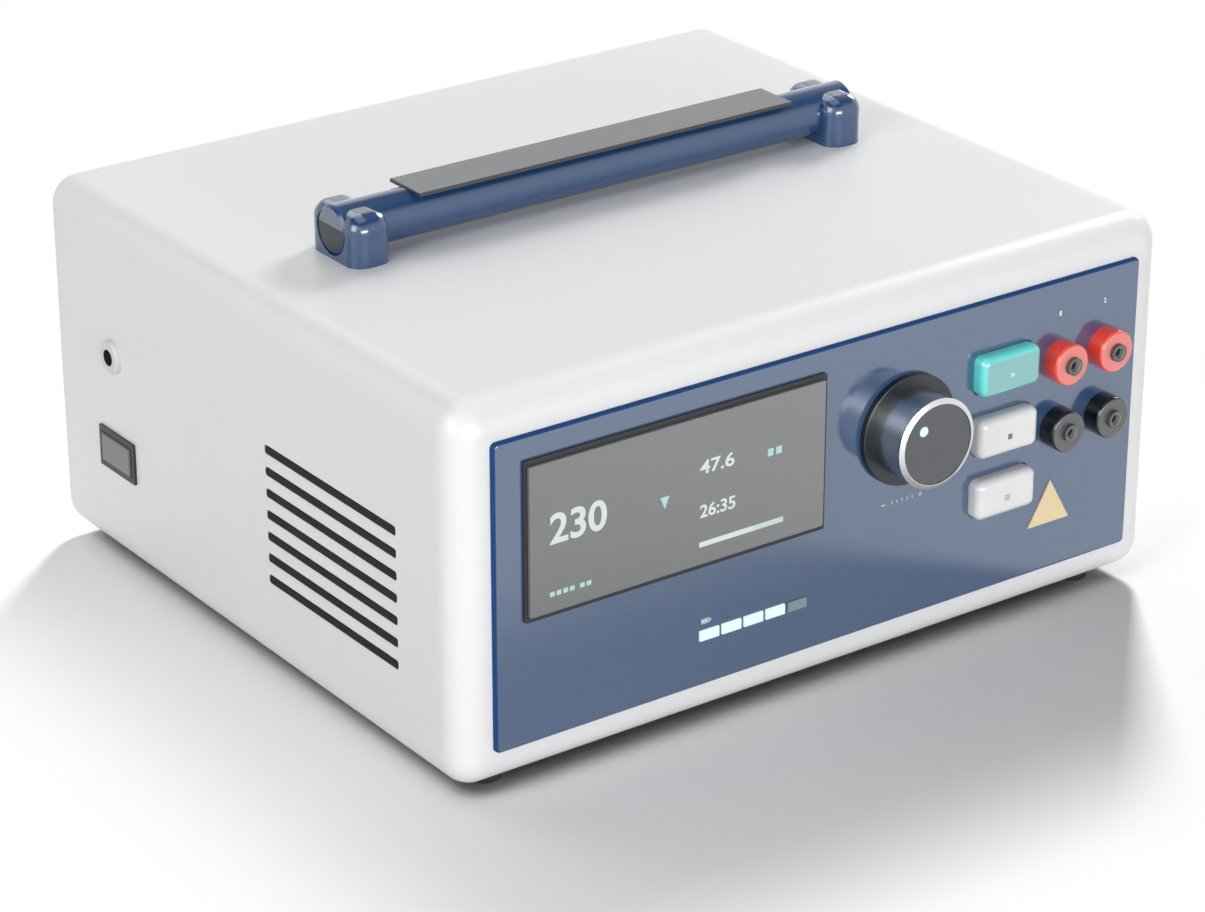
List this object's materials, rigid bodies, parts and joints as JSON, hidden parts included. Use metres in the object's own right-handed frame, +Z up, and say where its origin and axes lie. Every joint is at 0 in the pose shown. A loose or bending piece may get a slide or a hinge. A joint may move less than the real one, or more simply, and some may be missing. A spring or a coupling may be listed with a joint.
{
  "type": "electrophoresis power supply",
  "caption": "Portable gel electrophoresis power supply: rounded pale case, blue front panel with display, knob, keys and output sockets, side louvre, carrying bar and rear fan.",
  "frame": {"origin": "under the middle of the whole outline, on the surface that the feet stand on", "axes": "+X to the right seen from the front, +Y from the front panel to the rear, +Z up"},
  "size_m": [0.3024, 0.2864, 0.1612],
  "materials": {
    "case_plastic": "satin",
    "panel_blue": "satin",
    "handle_blue": "gloss",
    "bezel_dark": "satin",
    "display_glass": "gloss",
    "lcd_grey": "satin",
    "key_teal": "satin",
    "key_white": "satin",
    "socket_red": "satin",
    "socket_black": "satin",
    "socket_core": "satin",
    "contact_metal": "satin",
    "lens_amber": "satin",
    "led_clear": "gloss",
    "knob_metal": "polished",
    "knob_cap": "satin",
    "skirt_grey": "satin",
    "steel": "satin",
    "vent_dark": "matte",
    "switch_dark": "matte",
    "switch_grey": "satin",
    "grip_rubber": "matte",
    "foot_rubber": "matte",
    "cover_metal": "matte",
    "circuit_board": "satin",
    "fan_black": "matte",
    "heat_sink": "satin",
    "winding": "satin",
    "capacitor": "gloss",
    "battery_wrap": "gloss"
  },
  "bodies": {
    "case": {"case_shell": "case_plastic", "base_plate": "cover_metal", "feet": "foot_rubber", "rear_panel": "cover_metal", "cover_screws": "steel", "front_panel": "panel_blue", "control_board": "circuit_board", "key_switches": "switch_dark", "board_screws": "steel", "display_bezel": "bezel_dark", "display_glass": "display_glass", "lcd_module": "lcd_grey", "level_bar_1": "led_clear", "level_bar_2": "led_clear", "level_bar_3": "led_clear", "level_bar_4": "led_clear", "level_bar_5": "led_clear", "indicator_lens": "lens_amber", "encoder_body": "switch_dark", "encoder_nut": "steel", "socket_collar_red_1": "socket_red", "socket_core_red_1": "socket_core", "socket_collar_red_2": "socket_red", "socket_core_red_2": "socket_core", "socket_collar_black_1": "socket_black", "socket_core_black_1": "socket_core", "socket_collar_black_2": "socket_black", "socket_core_black_2": "socket_core", "socket_contacts": "contact_metal", "socket_nuts": "steel", "handle_bar": "handle_blue", "handle_plugs": "handle_blue", "handle_block_left": "handle_blue", "handle_block_right": "handle_blue", "handle_screws": "steel", "grip_pad": "grip_rubber", "vent_louvre": "vent_dark", "rocker_housing": "switch_dark", "jack_ring": "knob_metal", "jack_body": "switch_dark", "jack_pin": "contact_metal", "jack_nut": "steel", "fan_frame": "fan_black", "board_spacers": "steel", "power_board": "circuit_board", "heat_sink": "heat_sink", "transformer": "winding", "capacitors": "capacitor", "battery_pack": "battery_wrap", "battery_bracket": "steel"},
    "knob": {"knob_skirt": "skirt_grey", "knob_body": "knob_metal", "knob_cap": "knob_cap", "knob_dot": "led_clear", "encoder_shaft": "steel"},
    "start_key": {"start_button": "key_teal"},
    "stop_key": {"stop_button": "key_white"},
    "mode_key": {"mode_button": "key_white"},
    "power_rocker": {"rocker_paddle": "switch_grey"},
    "fan_wheel": {"fan_rotor": "fan_black"}
  },
  "joints": [
    {"name": "knob_turn", "type": "hinge", "parent": "case", "child": "knob", "pos_m": [0.0332, -0.1263, 0.0902], "axis": [0, -1, 0], "continuous": true},
    {"name": "start_press", "type": "slide", "parent": "case", "child": "start_key", "axis": [0, 1, 0], "range_m": [0, 0.0015], "stiffness_N_per_m": 800},
    {"name": "stop_press", "type": "slide", "parent": "case", "child": "stop_key", "axis": [0, 1, 0], "range_m": [0, 0.0015], "stiffness_N_per_m": 800},
    {"name": "mode_press", "type": "slide", "parent": "case", "child": "mode_key", "axis": [0, 1, 0], "range_m": [0, 0.0015], "stiffness_N_per_m": 800},
    {"name": "rocker_tilt", "type": "hinge", "parent": "case", "child": "power_rocker", "pos_m": [-0.148, 0.0937, 0.048], "axis": [0, 0, 1], "range_deg": [-9, 9]},
    {"name": "fan_spin", "type": "hinge", "parent": "case", "child": "fan_wheel", "pos_m": [0.0712, 0.13, 0.0669], "axis": [0, 1, 0], "continuous": true}
  ]
}
